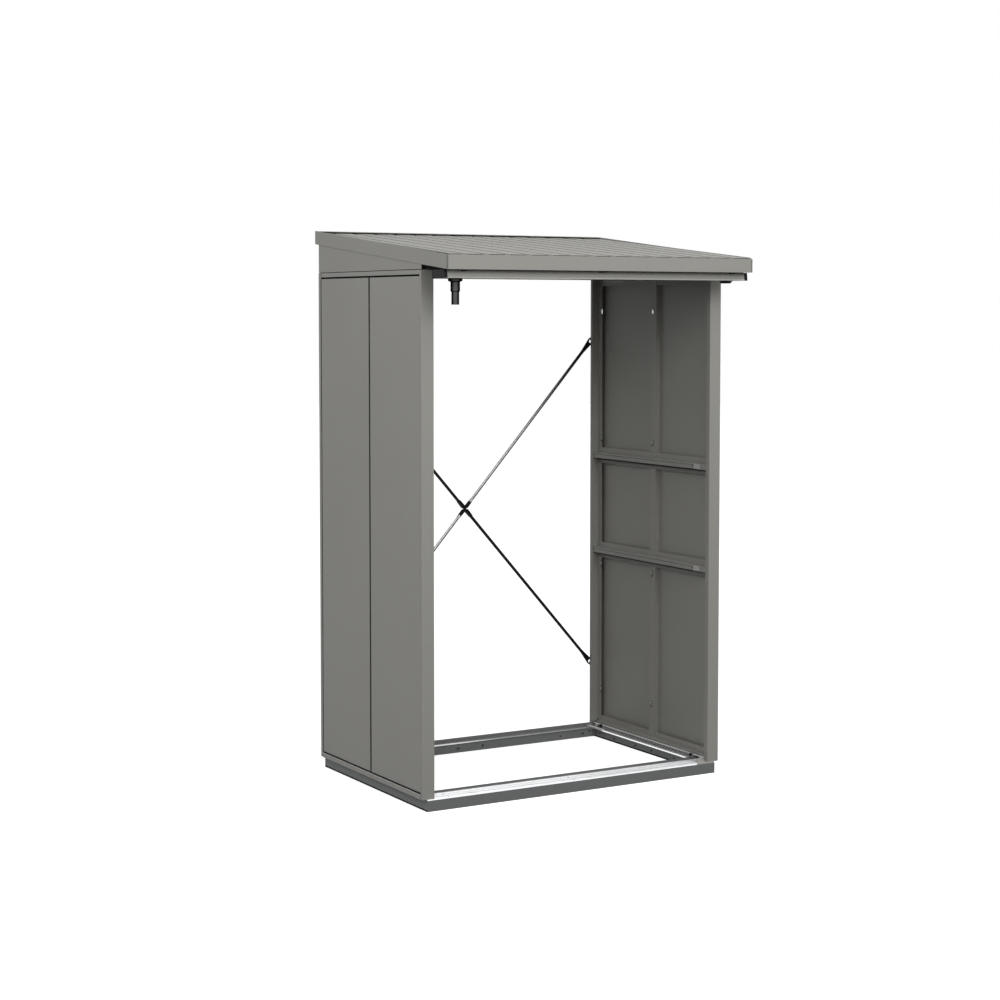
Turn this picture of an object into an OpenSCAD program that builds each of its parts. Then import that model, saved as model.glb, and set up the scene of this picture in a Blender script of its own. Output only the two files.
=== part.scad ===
// Steel log store: two closed side walls, open front and back, a lean-to
// roof of ribbed sheet that falls to a gutter at the front, and a round-rod
// cross brace in the back plane.  Origin: floor level, under the middle of
// the roof.  +X is to the right seen from the front, +Y to the back, +Z up.

/* [Overall] */
// Width over the two verges
roof_w = 1235; // [1120:5:1600]
// Depth of the roof from the front fascia to the back trim
roof_d = 1014; // [1000:2:1100]
// Height from the floor to the top of the back edge
total_h = 1990; // [1980:2:2060]
// Fall of the verge from the back edge to the front edge
roof_fall = 109; // [100:1:116]
// How far the roof stands out in front of the walls
front_overhang = 185; // [180:1:196]
// How far the roof stands out behind the walls
back_overhang = 25; // [22:1:30]

/* [Sheet metal] */
// Thickness of the wall, roof edge and frame sheet
sheet_t = 1.2; // [0.8:0.1:1.5]
// Thickness of the base frame sheet
base_t = 1.5; // [1.2:0.1:2]

/* [Base frame] */
// Height of the base frame at the front
base_h = 38; // [34:1:38]
// How far the base frame stands inside the wall faces
base_inset = 17.5; // [16:0.5:20]
// Depth of the broad front rail
front_rail_d = 106; // [100:1:116]
// Depth of the bright sill on it
sill_d = 72; // [60:1:78]
// Width of a side rail
side_rail_w = 28.5; // [27:0.5:32]
// Depth of the back rail
back_rail_d = 36; // [34:1:40]
// Radius of an anchor hole in the inner webs
anchor_hole_r = 3.5; // [2.5:0.5:5]
// Height of the anchor holes above the floor
anchor_hole_z = 14; // [10:1:20]

/* [Walls] */
// Width of a corner post's face
post_w = 47; // [44:1:56]
// Depth of a corner post's inner leg
post_leg = 21; // [19:1:30]
// Height of the walls' lower edge
wall_bottom_z = 42; // [42:1:43]
// Height of the walls' upper edge, under the gables
wall_top_z = 1834; // [1825:1:1838]
// Place of the seam between the two panels, from the roof's middle
seam_y = 69; // [20:1:110]
// Depth of a panel's folded edge
panel_d = 16; // [14:1:18]
// Width of the lip folded in behind a panel's edge
panel_lip = 18; // [14:1:22]
// Width of the shadow gap over a panel
panel_gap = 6.5; // [3:0.5:8]
// Width of the shadow gap at the seam between the two panels
seam_w = 6.5; // [4:0.5:8]
// Heights of the two inner stiffener rails
rail_heights = [749.5, 1126.5]; // [600:1:1400]
// How far a stiffener rail stands off the wall panels
rail_depth = 24; // [18:1:27]

/* [Roof] */
// Height of the vertical edge faces
edge_h = 48.5; // [44:0.5:52]
// Pitch of the valleys in the roof sheet
valley_pitch = 83.2; // [80:0.2:84]
// Number of valleys in the roof sheet
valley_count = 14; // [10:1:14]
// Depth of a valley
valley_depth = 7; // [5:0.5:9]
// Width of a valley at the top
valley_w = 24; // [20:1:30]

/* [Gutter] */
// Depth of the gutter from front to back
gutter_d = 82; // [76:1:84]
// Height of the gutter
gutter_h = 28; // [24:1:30]
// Outer radius of the spout's pipe end
spigot_r = 13; // [12:0.5:16]
// Inner radius of the spout
spout_bore_r = 11; // [9:0.5:11]
// Distance of the two outlets from the middle
outlet_x = 551; // [400:1:551]

/* [Brace] */
// Radius of a brace rod
rod_r = 6; // [4:0.1:7]
// Height where the rods cross
brace_mid_z = 937; // [920:1:950]
// Height from the crossing to an end eye
brace_rise = 640; // [600:1:680]
// Radius of an end eye's hole
eye_hole_r = 6.8; // [6:0.1:8]

/* [Hidden] */

paint = [0.52, 0.51, 0.49];
paint_light = [0.60, 0.59, 0.57];
base_grey = [0.37, 0.38, 0.38];
silver = [0.85, 0.86, 0.87];
black = [0.09, 0.09, 0.09];
zinc = [0.62, 0.63, 0.64];

$fn = 48;
nip = 0.2;                                  // hairline left between two pieces
left = -1;
right = 1;

half_w = roof_w / 2;
half_d = roof_d / 2;
wall_x = half_w - 1.5;                      // outer face of a wall
base_x = wall_x - base_inset;               // outer face of the base frame
front_y = -half_d + front_overhang;         // outer face of the front posts
back_y = half_d - back_overhang;            // outer face of the back posts
base_front_y = front_y - 4;
base_back_y = back_y + 2;
front_rail_back_y = base_front_y + front_rail_d;
back_rail_front_y = base_back_y - back_rail_d;
post_in_x = wall_x - post_w;                // inner face of a post
panel_in_x = wall_x - panel_d;              // plane of the panels' inner lips
panel_front_y = front_y + 12.6;
panel_back_y = back_y - 23;
panel_bottom_z = wall_bottom_z + 22.4;
panel_top_z = wall_top_z - 21.5;
upstand_z = wall_bottom_z + 17.8;           // top of the side rails' outer webs
strip_x = panel_in_x - sheet_t - nip;       // plane of what lies on the panels' lips
strip_front_y = back_y - 37;                // front edge of a back post's side strip
leg_top_z = upstand_z + sheet_t + 5;        // top of the bottom rails' inner legs
sill_front_y = base_front_y + 1;
sill_end_x = post_in_x - 48;                // where the sill meets the foot plate
gutter_front_y = -half_d + 26;
gutter_back_y = gutter_front_y + gutter_d;
gutter_top_z = total_h - roof_fall - edge_h - 0.5;
gutter_bottom_z = gutter_top_z - gutter_h;
gutter_mid_y = (gutter_front_y + gutter_back_y) / 2;
gutter_half_w = half_w - 15.5;
gutter_slope = 3;                           // how far its front leans out
sheet_front_z = total_h - roof_fall + 2.5;  // top of the roof sheet at the front
sheet_back_z = total_h - 6;                 // and at the back
sheet_mid_z = (sheet_front_z + sheet_back_z) / 2;
sheet_angle = atan((sheet_back_z - sheet_front_z) / roof_d);
valley_shift = -12.8;                       // the sheet is cut off centre
brace_y = back_y + 6;
brace_eye_x = post_in_x + 2;
brace_angle = atan(brace_rise / brace_eye_x);
brace_len = norm([brace_eye_x, brace_rise]);
clip_arm = 42;
eye_shift = 9;                              // from a keyhole's round end to its pin
pin_r = 2.8;

// Height of the verges' upper edge at a given depth
function edge_top(y) = total_h - roof_fall * (half_d - y) / roof_d;
// Height of the roof sheet's upper face at a given depth
function sheet_top(y) = sheet_mid_z + (sheet_back_z - sheet_front_z) * y / roof_d;
// Height of what the roof sheet's valleys rest on
function sheet_seat(y) = sheet_top(y) - valley_depth - sheet_t - nip;
// Middle of valley i
function valley_x(i) = (i - (valley_count - 1) / 2) * valley_pitch + valley_shift;

module box(x0, y0, x1, y1) {
    translate([x0, y0]) square([x1 - x0, y1 - y0]);
}

// 2D shapes drawn in Y and Z, run along X
module run_x(x0, x1) {
    translate([x0, 0, 0]) rotate([90, 0, 90]) linear_extrude(height = x1 - x0) children();
}

// 2D shapes drawn in X and Z, run along Y
module run_y(y0, y1) {
    translate([0, y1, 0]) rotate([90, 0, 0]) linear_extrude(height = y1 - y0) children();
}

// 2D shapes drawn in plan, run up Z
module run_z(z0, z1) {
    translate([0, 0, z0]) linear_extrude(height = z1 - z0) children();
}

module on_side(side) {
    if (side < 0) mirror([1, 0, 0]) children();
    else children();
}

// ---- base frame ----

module base_front_rail() {
    color(base_grey) run_x(-base_x + base_t, base_x - base_t) {
        box(base_front_y, 0, base_front_y + base_t, base_h);
        box(base_front_y, base_h - base_t, front_rail_back_y, base_h);
        box(front_rail_back_y - base_t, 0, front_rail_back_y, base_h + 5);
        box(base_front_y, 0, base_front_y + 30, base_t);
    }
}

module base_back_rail() {
    color(base_grey) difference() {
        run_x(-base_x + base_t, base_x - base_t) {
            box(base_back_y - base_t, 0, base_back_y, base_h + 12);
            box(back_rail_front_y, base_h - 1 - base_t, base_back_y, base_h - 1);
            box(back_rail_front_y, 0, back_rail_front_y + base_t, base_h - 1);
            box(base_back_y - 30, 0, base_back_y, base_t);
        }
        for (x = [-515, -55, 55, 515])
            translate([x, back_rail_front_y + 10, anchor_hole_z])
                rotate([90, 0, 0]) cylinder(h = 20, r = anchor_hole_r);
    }
}

// The side rail's top has a lip, a sunk channel and the web the wall stands on
module base_side_rail(side) {
    inner_x = base_x - side_rail_w;
    channel_x = inner_x + 8;
    channel_z = base_h - 5;
    color(base_grey) on_side(side) difference() {
        union() {
            run_y(base_front_y, base_back_y)
                box(base_x - base_t, 0, base_x, base_h);
            run_y(front_y + sheet_t + nip, back_y - 12.4)
                box(base_x - base_t, base_h - 1, base_x, upstand_z);
            run_y(back_y - 13, back_y - 1.6)
                box(base_x - base_t, base_h - 1, base_x, upstand_z - 4.3);
            run_y(front_rail_back_y + nip, back_rail_front_y - nip) {
                box(inner_x, 0, inner_x + base_t, base_h - 1);
                box(inner_x, base_h - 1 - base_t, channel_x, base_h - 1);
                box(channel_x - base_t, channel_z - base_t, channel_x, base_h - 1);
                box(channel_x - base_t, channel_z - base_t, base_x, channel_z);
                box(base_x - 25, 0, base_x, base_t);
            }
        }
        for (y = [-100, 50, 160, 310])
            translate([inner_x - 10, y, anchor_hole_z])
                rotate([0, 90, 0]) cylinder(h = 20, r = anchor_hole_r);
    }
}

// Plan of the plate under the right front post, cut on the slant to the sill
function foot_plan(gap) =
    let (slant = 50, far_y = sill_front_y + sill_d)
    [[sill_end_x - gap, sill_front_y - gap], [base_x - base_t + gap, sill_front_y - gap],
     [base_x - base_t + gap, far_y + gap], [sill_end_x + slant - gap, far_y + gap]];

// Bright sill of extruded metal with fine ribs along it
module front_sill() {
    rib_count = 9;
    rib_pitch = (sill_d - 3) / (rib_count - 1);
    color(silver) difference() {
        run_x(-base_x + base_t, base_x - base_t) {
            box(sill_front_y, base_h, sill_front_y + sill_d, wall_bottom_z - 1.5);
            for (i = [0 : rib_count - 1])
                box(sill_front_y + i * rib_pitch, base_h,
                    sill_front_y + i * rib_pitch + 3, wall_bottom_z);
        }
        run_z(base_h - 1, wall_bottom_z + 1) polygon(foot_plan(0.5));
    }
}

// Foot plate of the right front post with a small gusset beside the post
module foot_bracket() {
    gusset_y = front_y + 19;
    color(paint_light) {
        run_z(base_h, wall_bottom_z) polygon(foot_plan(0));
        run_y(gusset_y, gusset_y + 3)
            polygon([[post_in_x - 32, wall_bottom_z], [post_in_x - nip, wall_bottom_z],
                     [post_in_x - nip, wall_bottom_z + 6],
                     [post_in_x - 11, wall_bottom_z + 17.5],
                     [post_in_x - 16, wall_bottom_z + 17.5],
                     [post_in_x - 32, wall_bottom_z + 11]]);
    }
}

// ---- walls ----

// Folded channel: a face, a deep inner leg and a short outer leg
module front_post(side) {
    color(paint) on_side(side) run_z(wall_bottom_z, wall_top_z) {
        box(post_in_x, front_y, wall_x, front_y + sheet_t);
        box(post_in_x, front_y, post_in_x + sheet_t, front_y + post_leg);
        box(wall_x - sheet_t, front_y, wall_x, front_y + 12);
        box(post_in_x, front_y + post_leg - sheet_t, post_in_x + 6, front_y + post_leg);
    }
}

// The back post's folded edge runs in over the wall's rear edge as a side strip
module back_post(side) {
    flange_y = back_y - 12;
    flange_z = wall_bottom_z + 14;
    color(paint) on_side(side) {
        run_z(wall_bottom_z, wall_top_z) {
            box(post_in_x, back_y - sheet_t, wall_x, back_y);
            box(post_in_x, flange_y, post_in_x + sheet_t, back_y);
            box(wall_x - sheet_t, back_y - 19, wall_x, back_y);
        }
        run_z(flange_z, wall_top_z)
            box(post_in_x, flange_y, strip_x + sheet_t, flange_y + sheet_t);
        run_z(leg_top_z + nip, wall_top_z)
            box(strip_x, strip_front_y, strip_x + sheet_t, flange_y + sheet_t);
        run_z(base_h - 1, wall_bottom_z)
            box(post_in_x, back_y - sheet_t, base_x - base_t - 1, back_y);
    }
}

// Shallow tray: the outer skin, four folded edges and the lips behind them
module panel_tray(y0, y1, front_lip, rear_lip) {
    difference() {
        run_x(panel_in_x, wall_x) box(y0, panel_bottom_z, y1, panel_top_z);
        run_x(panel_in_x + sheet_t, wall_x - sheet_t)
            box(y0 + sheet_t, panel_bottom_z + sheet_t, y1 - sheet_t, panel_top_z - sheet_t);
        run_x(panel_in_x - 1, panel_in_x + sheet_t + 1)
            box(y0 + front_lip, panel_bottom_z + panel_lip,
                y1 - rear_lip, panel_top_z - panel_lip);
    }
}

// The front panel has no lip at the seam, only its folded edge
module front_panel(side) {
    color(paint) on_side(side)
        panel_tray(panel_front_y, seam_y - seam_w / 2, panel_lip, sheet_t);
}

// A strip on the back panel's lip reaches over the seam and hides it inside
module back_panel(side) {
    seam_back_y = seam_y + seam_w / 2;
    color(paint) on_side(side) {
        panel_tray(seam_back_y, panel_back_y, panel_lip, panel_lip - 5);
        run_x(strip_x, strip_x + sheet_t)
            box(seam_back_y - seam_w, leg_top_z + nip, seam_back_y + 30, panel_top_z);
        run_x(strip_x + sheet_t, panel_in_x)
            box(seam_back_y + 4, leg_top_z + 4, seam_back_y + 12, panel_top_z - 10);
    }
}

// The rail under a wall: outer face, web on the base frame, inner leg and skirt
module bottom_rail(side) {
    web_z = upstand_z + sheet_t;
    leg_x = base_x + nip;
    skirt_x = base_x - 9;
    hem_z = wall_bottom_z + 6.5;
    hem_w = 4;
    color(paint_light) on_side(side) {
        run_y(panel_front_y, panel_back_y) {
            box(wall_x - sheet_t, wall_bottom_z, wall_x, web_z);
            box(wall_x - sheet_t, wall_bottom_z, wall_x + 1.2, wall_bottom_z + 13);
            box(skirt_x, upstand_z, wall_x, web_z);
            box(leg_x, wall_bottom_z, leg_x + sheet_t, leg_top_z);
            box(skirt_x, hem_z, skirt_x + sheet_t, web_z);
        }
        run_y(panel_front_y, back_y - sheet_t - nip) {
            box(skirt_x, hem_z, skirt_x + sheet_t, hem_z + 6);
            box(skirt_x - hem_w, hem_z, skirt_x + sheet_t, hem_z + sheet_t);
        }
    }
}

module top_rail(side) {
    color(paint_light) on_side(side) {
        run_y(panel_front_y, panel_back_y) {
            box(wall_x - sheet_t, panel_top_z + panel_gap, wall_x, wall_top_z);
            box(panel_in_x, wall_top_z - sheet_t, wall_x, wall_top_z);
        }
        run_y(panel_front_y, strip_front_y - nip) {
            box(strip_x, wall_top_z - sheet_t, panel_in_x + 1, wall_top_z);
            box(strip_x, panel_top_z + nip, strip_x + sheet_t, wall_top_z);
        }
    }
}

// Infill between the wall and the sloping roof, set back by a shadow groove
module gable(side) {
    top_drop = sheet_t + nip;                // room for the verge's ledge
    skin_x = wall_x - 1.2 - sheet_t;
    groove = 2.2;
    hem_h = 14;
    color(paint) on_side(side) {
        run_x(skin_x, skin_x + sheet_t)
            polygon([[front_y, wall_top_z + groove], [back_y, wall_top_z + groove],
                     [back_y, sheet_seat(back_y) - top_drop],
                     [front_y, sheet_seat(front_y) - top_drop]]);
        run_y(front_y + 66, back_y - 32) {
            box(skin_x - sheet_t, wall_top_z, skin_x, wall_top_z + hem_h);
            box(wall_x - 20, wall_top_z, skin_x, wall_top_z + sheet_t);
        }
    }
}

// Hat-shaped rail across the inside of a wall
module stiffener(side, mid_z) {
    back_x = strip_x - nip;
    hat_x = panel_in_x - rail_depth;
    hat_half = 10.5;
    flange_half = 31;
    color(paint) on_side(side) run_y(front_y + 4, back_y - 12.2) {
        box(hat_x, mid_z - hat_half, hat_x + sheet_t, mid_z + hat_half);
        box(hat_x, mid_z + hat_half - sheet_t, back_x, mid_z + hat_half);
        box(hat_x, mid_z - hat_half, back_x, mid_z - hat_half + sheet_t);
        box(back_x - sheet_t, mid_z + hat_half - sheet_t, back_x, mid_z + flange_half);
        box(back_x - sheet_t, mid_z - flange_half, back_x, mid_z - hat_half + sheet_t);
    }
}

// ---- roof ----

// Outline of a channel with a level foot and a sloping top flange
function sloped_channel(face, foot_in, top_in, z0, z_face, z_in) =
    let (way = sign(top_in - face), fall = (z_in - z_face) / abs(top_in - face))
    [[face, z0], [foot_in, z0], [foot_in, z0 + sheet_t],
     [face + way * sheet_t, z0 + sheet_t],
     [face + way * sheet_t, z_face + (fall - 1) * sheet_t],
     [top_in, z_in - sheet_t], [top_in, z_in], [face, z_face]];

// Channel that carries the sheet between the gables
module header(y_face, y_in) {
    end_x = wall_x - 1.2 - sheet_t - nip;
    color(paint) run_x(-end_x, end_x)
        polygon(sloped_channel(y_face, y_in, y_in, wall_top_z,
                               sheet_seat(y_face), sheet_seat(y_in)));
}

// Children drawn on the roof sheet's slope: X across, Y up the slope
module on_roof() {
    translate([0, 0, sheet_mid_z]) rotate([sheet_angle, 0, 0]) children();
}

// Upper outline of the sheet: flats with a trapezoid valley between each pair
function sheet_line(shift_z) = concat(
    [[-half_w + 2, shift_z]],
    [for (i = [0 : valley_count - 1]) for (step = [0 : 3])
        [valley_x(i) + [-valley_w, -valley_w + 11, valley_w - 11, valley_w][step] / 2,
         shift_z - [0, valley_depth, valley_depth, 0][step]]],
    [[half_w - 2, shift_z]]);

function reversed(points) = [for (i = [len(points) - 1 : -1 : 0]) points[i]];

module roof_sheet() {
    front_end = (-half_d + 3) / cos(sheet_angle);
    back_end = (half_d - 6) / cos(sheet_angle);
    color(paint_light) on_roof() run_y(front_end, back_end)
        polygon(concat(sheet_line(0), reversed(sheet_line(-sheet_t))));
}

// Dark foam strip that fills the sheet's profile under the back trim
module back_seal() {
    strip_y = (half_d - 14) / cos(sheet_angle);
    color(black) on_roof() run_y(strip_y - 8, strip_y)
        polygon(concat(sheet_line(nip), [[half_w - 2, 4], [-half_w + 2, 4]]));
}

// Edge face as high as the verges, with a foot and a ledge behind it
module front_fascia() {
    top_z = edge_top(-half_d);
    ledge_y0 = -half_d + sheet_t / 2;
    ledge_y1 = -half_d + 30;
    color(paint_light) run_x(-half_w + 3.6, half_w - 3.6) {
        box(-half_d, top_z - edge_h, -half_d + sheet_t, top_z);
        box(-half_d, top_z - edge_h, -half_d + 15, top_z - edge_h + sheet_t);
        polygon([[ledge_y0, sheet_seat(ledge_y0)], [ledge_y1, sheet_seat(ledge_y1)],
                 [ledge_y1, sheet_seat(ledge_y1) - sheet_t],
                 [ledge_y0, sheet_seat(ledge_y0) - sheet_t]]);
    }
}

module back_trim() {
    lip_y = half_d - 24;
    color(paint_light) run_x(-half_w + 3, half_w - 3)
        polygon(sloped_channel(half_d, half_d - 15, lip_y, edge_top(half_d) - edge_h,
                               edge_top(half_d), edge_top(lip_y)));
}

// Sloping edge face with a ledge inside that the sheet's side rests on
module verge(side) {
    ledge_y0 = -half_d + 32;
    ledge_y1 = half_d - 16;
    color(paint) on_side(side) {
        run_x(half_w - 1.4, half_w)
            polygon([[-half_d, edge_top(-half_d)], [half_d, edge_top(half_d)],
                     [half_d, edge_top(half_d) - edge_h],
                     [-half_d, edge_top(-half_d) - edge_h]]);
        run_x(half_w - 24, half_w)
            polygon([[ledge_y0, sheet_seat(ledge_y0)], [ledge_y1, sheet_seat(ledge_y1)],
                     [ledge_y1, sheet_seat(ledge_y1) - sheet_t],
                     [ledge_y0, sheet_seat(ledge_y0) - sheet_t]]);
    }
}

// ---- gutter ----

module gutter_outline(inset) {
    chamfer = 4;
    polygon([[gutter_front_y + gutter_slope + inset, gutter_top_z + inset],
             [gutter_front_y + inset, gutter_bottom_z + chamfer],
             [gutter_front_y + chamfer, gutter_bottom_z + inset],
             [gutter_back_y - chamfer, gutter_bottom_z + inset],
             [gutter_back_y - inset, gutter_bottom_z + chamfer],
             [gutter_back_y - inset, gutter_top_z + inset]]);
}

module gutter() {
    color(paint_light) difference() {
        run_x(-gutter_half_w, gutter_half_w) {
            difference() {
                gutter_outline(0);
                gutter_outline(sheet_t);
            }
            box(gutter_front_y + gutter_slope, gutter_top_z - sheet_t,
                gutter_front_y + gutter_slope + 7, gutter_top_z);
        }
        for (x = [-outlet_x, outlet_x])
            translate([x, gutter_mid_y, gutter_bottom_z - 5])
                cylinder(h = 10, r = spout_bore_r);
    }
}

module gutter_cap(side) {
    color(black) on_side(side) run_x(gutter_half_w, half_w - 1.5)
        gutter_outline(0);
}

// Spout turned in one piece: flange, body, cone and pipe end
module gutter_spout() {
    flange_r = 24;
    body_r = 15.8;
    color(black) translate([-outlet_x, gutter_mid_y, gutter_bottom_z]) rotate_extrude()
        polygon([[spout_bore_r, 0], [flange_r, 0], [flange_r, -9], [body_r, -12],
                 [body_r, -42], [spigot_r, -45], [spigot_r, -87], [spout_bore_r, -87]]);
}

module gutter_blank_outlet() {
    color(black) translate([outlet_x, gutter_mid_y, gutter_bottom_z - 6])
        cylinder(h = 6, r1 = 20, r2 = 25);
}

// Three straps over the gutter, from the fascia's lip to the roof sheet
module gutter_brackets() {
    strap_w = 20;
    strap_z = edge_top(-half_d) - edge_h + sheet_t + nip;
    hook_y = -half_d + 15.5;
    heel_z = sheet_seat(gutter_back_y) - 0.4;
    for (x = [-542, 0, 542])
        color(black) run_x(x - strap_w / 2, x + strap_w / 2) {
            box(-half_d + 4, strap_z, gutter_back_y + 2, strap_z + 2);
            box(hook_y, strap_z - 6, hook_y + 8, strap_z + 2);
            box(gutter_back_y + nip, gutter_bottom_z + 12, gutter_back_y + 2, heel_z);
        }
}

// ---- cross brace ----

// Children drawn along one arm of the cross: X runs from the crossing outwards
module on_arm(side, up) {
    on_side(side) translate([0, brace_y, brace_mid_z])
        rotate([0, -up * brace_angle, 0]) children();
}

// How far the centre clip reaches along an arm, less on one strand
function clip_reach(side, up) = side * up > 0 ? clip_arm - 8 : clip_arm;

// Round rod that ends in a flattened head with a keyhole in it
module brace_rod(side, up) {
    head_r = 12;
    tip_r = 10;
    eye_t = 5;
    neck = 52;
    reach = clip_reach(side, up);
    color(zinc) on_arm(side, up) difference() {
        union() {
            translate([reach, 0, 0]) rotate([0, 90, 0])
                cylinder(h = brace_len - neck - reach, r = rod_r);
            rotate([90, 0, 0]) linear_extrude(height = eye_t, center = true) {
                hull() {
                    translate([brace_len, 0]) circle(r = head_r);
                    translate([brace_len + eye_shift, 0]) circle(r = tip_r);
                }
                polygon([[brace_len - neck - 10, -rod_r], [brace_len - neck, -rod_r],
                         [brace_len - 4, -head_r + 0.7], [brace_len - 4, head_r - 0.7],
                         [brace_len - neck, rod_r], [brace_len - neck - 10, rod_r]]);
            }
        }
        rotate([90, 0, 0]) linear_extrude(height = 20, center = true) {
            translate([brace_len, 0]) circle(r = eye_hole_r);
            translate([brace_len + eye_shift, 0]) circle(r = pin_r + nip);
            box(brace_len, -pin_r - nip, brace_len + eye_shift, pin_r + nip);
        }
    }
}

// Black clip of four wedges on a pin, which the four rods are fastened to
module brace_centre() {
    waist = 2.5;
    color(black) {
        for (side = [left, right]) for (up = [-1, 1]) {
            slim = side * up > 0 ? 1 : 0;
            reach = clip_reach(side, up);
            on_arm(side, up) rotate([90, 0, 0])
                linear_extrude(height = 12 - 3 * slim, center = true)
                    polygon([[0, -waist], [4, -waist], [9, -7.5 + slim], [22, -7.3 + slim],
                             [reach, -rod_r], [reach, rod_r], [22, 7.3 - slim],
                             [9, 7.5 - slim], [4, waist], [0, waist]]);
        }
        translate([0, brace_y, brace_mid_z]) rotate([90, 0, 0])
            cylinder(h = 15, r = 3.6, center = true);
    }
}

// A headed pin in each keyhole, with a collar on the back post
module brace_bolts() {
    collar_r = 4.5;
    head_r = 4;
    eye_half = 2.5;
    color(black) for (side = [left, right]) for (up = [-1, 1])
        on_arm(side, up) translate([brace_len + eye_shift, 0, 0])
            rotate([-90, 0, 0]) {
                translate([0, 0, back_y - brace_y])
                    cylinder(h = brace_y - back_y + eye_half + 2, r = pin_r);
                translate([0, 0, back_y - brace_y])
                    cylinder(h = brace_y - back_y - eye_half - nip, r = collar_r);
                translate([0, 0, eye_half + nip]) cylinder(h = 2, r = head_r);
            }
}

base_front_rail();
base_back_rail();
base_side_rail(left);  // base_left_rail
base_side_rail(right);  // base_right_rail
front_sill();
foot_bracket();
front_post(left);  // front_left_post
front_post(right);  // front_right_post
back_post(left);  // back_left_post
back_post(right);  // back_right_post
front_panel(left);  // left_front_panel
back_panel(left);  // left_back_panel
front_panel(right);  // right_front_panel
back_panel(right);  // right_back_panel
bottom_rail(left);  // left_bottom_rail
bottom_rail(right);  // right_bottom_rail
top_rail(left);  // left_top_rail
top_rail(right);  // right_top_rail
gable(left);  // left_gable
gable(right);  // right_gable
stiffener(left, rail_heights[0]);  // left_lower_stiffener
stiffener(left, rail_heights[1]);  // left_upper_stiffener
stiffener(right, rail_heights[0]);  // right_lower_stiffener
stiffener(right, rail_heights[1]);  // right_upper_stiffener
header(front_y + 34, front_y + 64);  // front_header
header(back_y, back_y - 30);  // back_header
roof_sheet();
front_fascia();
back_trim();
verge(left);  // left_verge
verge(right);  // right_verge
back_seal();
gutter();
gutter_cap(left);  // gutter_left_cap
gutter_cap(right);  // gutter_right_cap
gutter_spout();
gutter_blank_outlet();
gutter_brackets();
brace_rod(left, 1);  // brace_rod_upper_left
brace_rod(right, 1);  // brace_rod_upper_right
brace_rod(left, -1);  // brace_rod_lower_left
brace_rod(right, -1);  // brace_rod_lower_right
brace_centre();
brace_bolts();
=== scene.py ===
# %% [markdown]
# # A sheet-metal log store
#
# The store is a plain lean-to: two closed side walls folded from painted sheet, a
# ribbed roof that falls to the front, a gutter, a cross brace at the back and a base
# frame on the ground. Its solids come ready made and are never moved. What is added
# here is what a solid model leaves out: paint and bare metal, softened folds, the
# small clips and screws that hold the sheets, and a pale studio.

import math

import bmesh
import bpy
from mathutils import Matrix, Vector


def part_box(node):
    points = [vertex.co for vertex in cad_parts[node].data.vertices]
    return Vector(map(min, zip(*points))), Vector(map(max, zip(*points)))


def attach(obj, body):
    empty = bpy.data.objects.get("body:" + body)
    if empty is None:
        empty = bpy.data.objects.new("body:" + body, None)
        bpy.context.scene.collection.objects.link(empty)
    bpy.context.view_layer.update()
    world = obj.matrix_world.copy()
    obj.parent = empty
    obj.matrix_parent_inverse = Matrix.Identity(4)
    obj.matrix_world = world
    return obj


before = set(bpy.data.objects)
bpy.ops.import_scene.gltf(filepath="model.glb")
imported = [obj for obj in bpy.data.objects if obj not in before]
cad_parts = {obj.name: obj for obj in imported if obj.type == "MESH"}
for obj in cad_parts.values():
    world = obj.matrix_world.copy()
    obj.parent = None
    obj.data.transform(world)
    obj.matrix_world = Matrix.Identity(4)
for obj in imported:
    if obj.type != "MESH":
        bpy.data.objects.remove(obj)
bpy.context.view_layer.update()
scene = bpy.context.scene
MM = 0.001

# %% [markdown]
# The camera stands at eye level, to the left of the open front, so it sees the outside
# of the left wall and the inside of the right one. A short lens close by would splay
# the posts, so a long one is used from further off. Tilting it down would still lean
# them a little, and a small downward shift takes over part of that tilt, as a
# photographer of buildings would do it.

# %% camera
CAMERA_AT = Vector((-3.8271, -6.3898, 1.6939))
CAMERA_TURN = math.radians(30.084)       # to the right of straight ahead
CAMERA_TILT = math.radians(3.577)        # below the horizon
camera_data = bpy.data.cameras.new("camera")
camera_data.lens = 73.887
camera_data.sensor_width = 36.0
camera_data.shift_y = -0.06
camera_data.clip_end = 60.0
camera = bpy.data.objects.new("camera", camera_data)
camera.location = CAMERA_AT
camera.rotation_euler = (math.pi / 2 - CAMERA_TILT, 0.0, -CAMERA_TURN)
scene.collection.objects.link(camera)
scene.camera = camera
print("camera height:", round(CAMERA_AT.z, 2), "lens:", camera_data.lens)

# %% [markdown]
# A material is a small network of nodes, and the same few steps come back in every
# one: set up a node, do a sum, read some noise, mix two colours. Each step gets a
# short helper, so that the recipes further down read as recipes. All of them share one
# habit: a plain value is typed into the socket, and anything else is linked to it.

# %% helpers for node trees
def feed(tree, socket, value):
    if isinstance(value, (int, float, tuple)):
        socket.default_value = value
    else:
        tree.links.new(value, socket)


def add_node(tree, kind, **values):
    """Names that start with _ are the node's sockets, the others its settings."""
    node = tree.nodes.new(kind)
    for key, value in values.items():
        if key[0] == "_":
            feed(tree, node.inputs[key[1:].replace("_", " ")], value)
        else:
            setattr(node, key, value)
    return node


def maths(tree, operation, a, b, clamp=False):
    node = add_node(tree, "ShaderNodeMath", operation=operation, use_clamp=clamp)
    feed(tree, node.inputs[0], a)
    feed(tree, node.inputs[1], b)
    return node.outputs[0]


def vector_maths(tree, operation, a, b=(0.0, 0.0, 0.0)):
    node = add_node(tree, "ShaderNodeVectorMath", operation=operation)
    feed(tree, node.inputs[0], a)
    feed(tree, node.inputs[1], b)
    return node.outputs


def noise(tree, where, scale, detail):
    node = add_node(tree, "ShaderNodeTexNoise", _Vector=where, _Scale=scale, _Detail=detail)
    return node.outputs["Fac"]


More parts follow.
